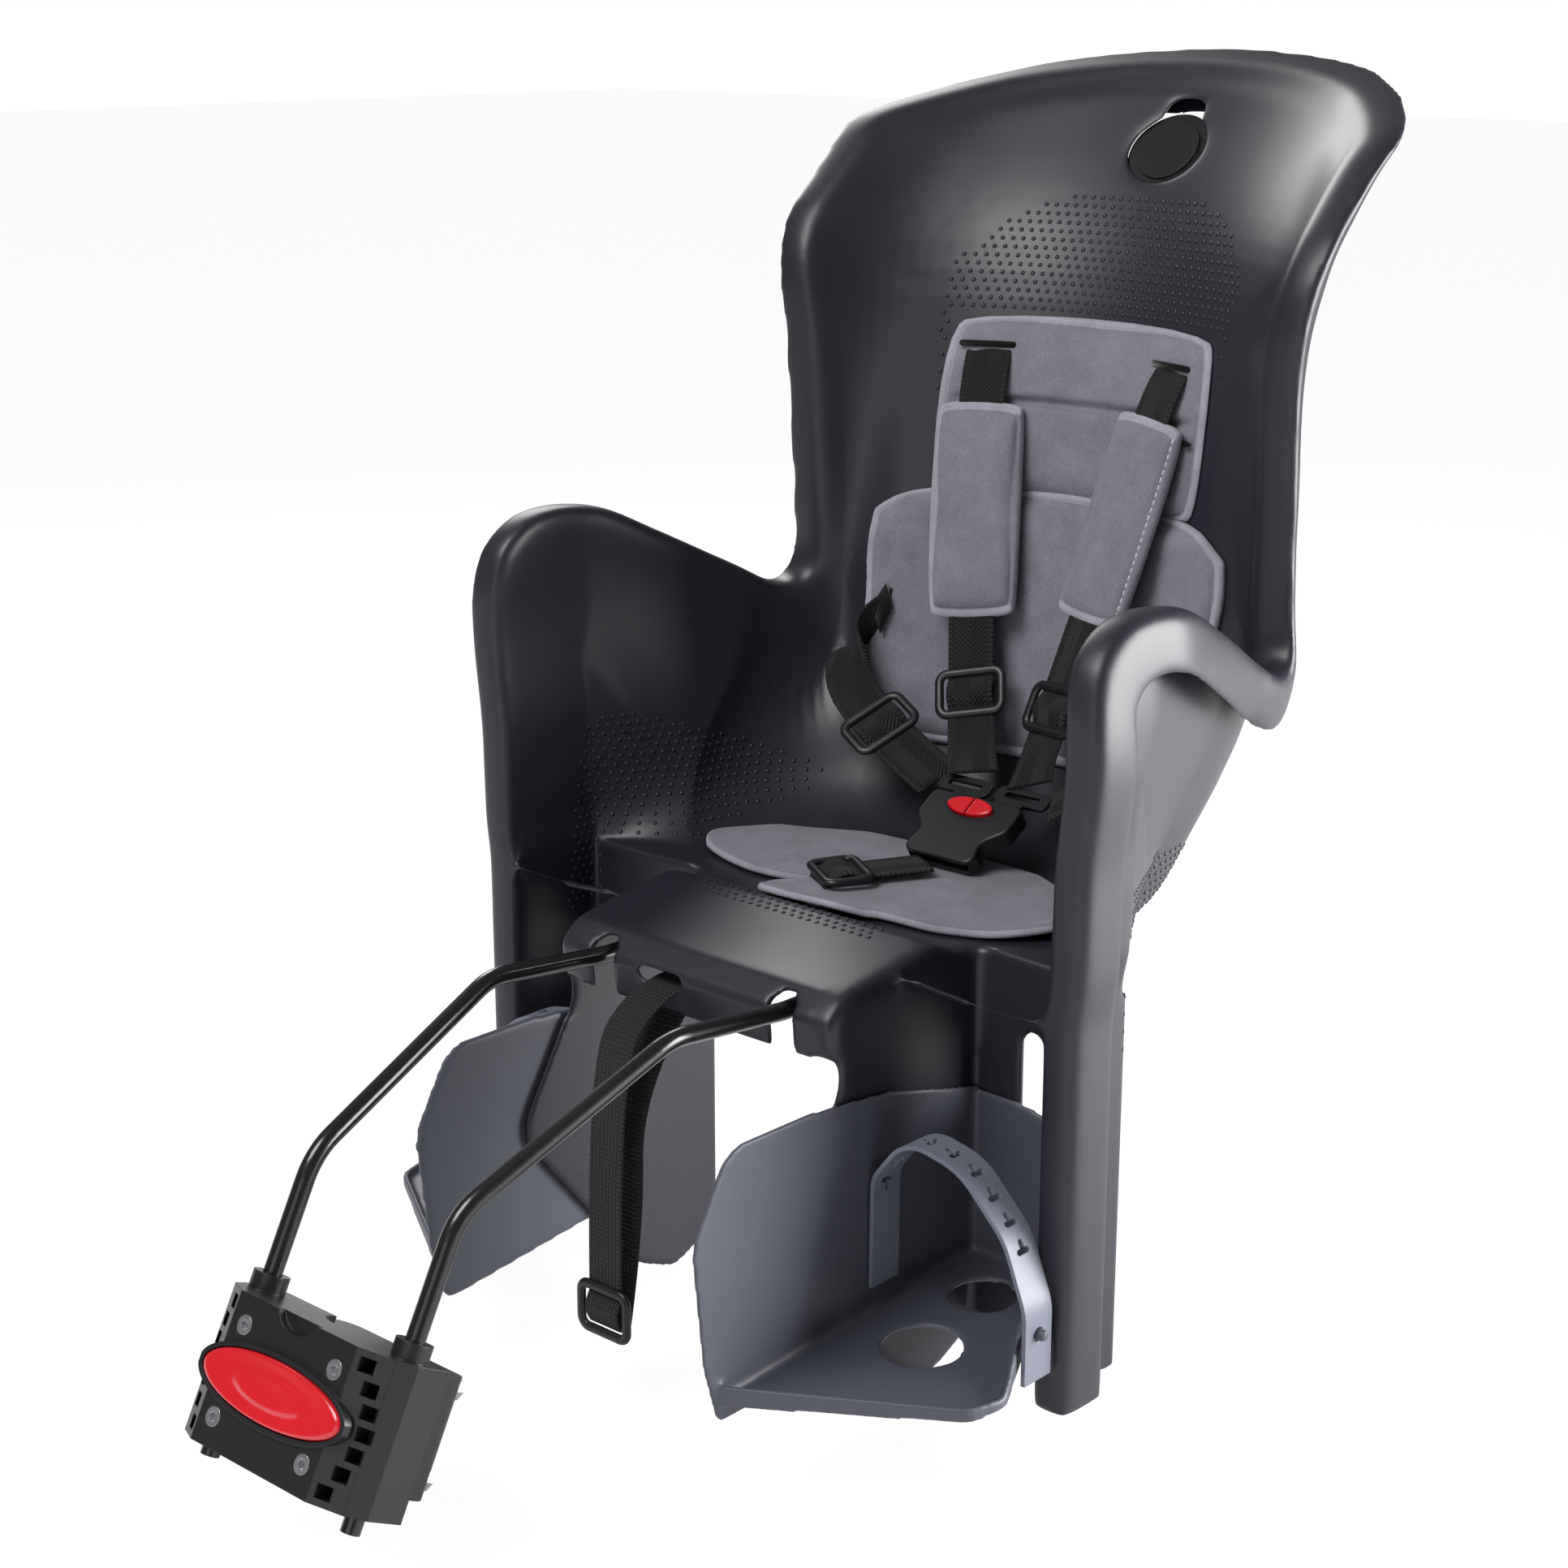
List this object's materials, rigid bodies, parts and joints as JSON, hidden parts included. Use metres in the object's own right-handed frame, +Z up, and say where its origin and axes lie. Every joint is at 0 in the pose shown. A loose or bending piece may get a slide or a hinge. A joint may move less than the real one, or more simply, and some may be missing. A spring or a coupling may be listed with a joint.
{
  "type": "rear child bicycle seat",
  "caption": "Moulded child bicycle seat with leg guards, padded harness and sliding footrests, on a bent rod carrier that clamps to the seat tube.",
  "frame": {"origin": "on the seat tube's axis at the middle of the clamp's liner", "axes": "+Z up in the picture's attitude, +Y to the rear so that the child faces -Y, +X to the child's left-hand side seen from the front (viewer's right)"},
  "size_m": [0.442, 0.7932, 0.7139],
  "materials": {
    "black_polypropylene": "satin black polypropylene with a fine grain",
    "dark_grey_plastic": "matte dark plastic",
    "grey_velour": "grey velour over foam, welded borders",
    "black_webbing": "woven black polypropylene webbing",
    "black_nylon": "satin black nylon",
    "grey_polypropylene": "grained slate grey polypropylene",
    "grey_strap_plastic": "smooth slate grey flexible plastic",
    "black_steel_rod": "gloss black powder coat",
    "bright_steel": "zinc plated steel",
    "black_rubber": "matte black rubber",
    "red_gloss_plastic": "gloss red plastic"
  },
  "bodies": {
    "mount_block": {"block_front": "black_nylon", "block_rear": "black_nylon", "tube_liner": "black_rubber", "clamp_bolts": "bright_steel", "clamp_nuts": "bright_steel"},
    "release_button": {"release_button": "red_gloss_plastic"},
    "seat": {"seat_shell": "black_polypropylene", "keyhole_plug": "dark_grey_plastic", "back_pad": "grey_velour", "seat_pad": "grey_velour", "shoulder_pad_left": "grey_velour", "shoulder_pad_right": "grey_velour", "shoulder_strap_left": "black_webbing", "shoulder_strap_right": "black_webbing", "hip_strap_left": "black_webbing", "hip_strap_right": "black_webbing", "crotch_strap": "black_webbing", "shoulder_adjuster_left": "black_nylon", "shoulder_adjuster_right": "black_nylon", "hip_adjuster_left": "black_nylon", "hip_adjuster_right": "black_nylon", "crotch_adjuster": "black_nylon", "buckle_body": "black_nylon", "buckle_tongue_left": "black_nylon", "buckle_tongue_right": "black_nylon", "carrier_rod": "black_steel_rod", "carrier_bracket": "black_nylon", "bracket_bolts": "bright_steel", "safety_strap": "black_webbing", "safety_strap_return": "black_webbing", "safety_strap_adjuster": "black_nylon"},
    "footrest_left": {"footrest_left": "grey_polypropylene", "foot_strap_left": "grey_strap_plastic"},
    "footrest_right": {"footrest_right": "grey_polypropylene", "foot_strap_right": "grey_strap_plastic"},
    "buckle_button_left": {"buckle_button_left": "red_gloss_plastic"},
    "buckle_button_right": {"buckle_button_right": "red_gloss_plastic"}
  },
  "joints": [
    {"name": "seat_release", "type": "slide", "parent": "mount_block", "child": "seat", "axis": [0, 0.4695, 0.8829], "range_m": [0, 0.09]},
    {"name": "release_press", "type": "slide", "parent": "mount_block", "child": "release_button", "axis": [0, 0.8829, -0.4695], "range_m": [0, 0.004], "stiffness_N_per_m": 800, "springref_m": -0.001},
    {"name": "footrest_slide_left", "type": "slide", "parent": "seat", "child": "footrest_left", "axis": [0, 0, 1], "range_m": [-0.02, 0.045]},
    {"name": "footrest_slide_right", "type": "slide", "parent": "seat", "child": "footrest_right", "axis": [0, 0, 1], "range_m": [-0.02, 0.045]},
    {"name": "buckle_press_left", "type": "slide", "parent": "seat", "child": "buckle_button_left", "axis": [0, 0.5446, -0.8387], "range_m": [0, 0.0025], "stiffness_N_per_m": 400, "springref_m": -0.001},
    {"name": "buckle_press_right", "type": "slide", "parent": "seat", "child": "buckle_button_right", "axis": [0, 0.5446, -0.8387], "range_m": [0, 0.0025], "stiffness_N_per_m": 400, "springref_m": -0.001}
  ]
}
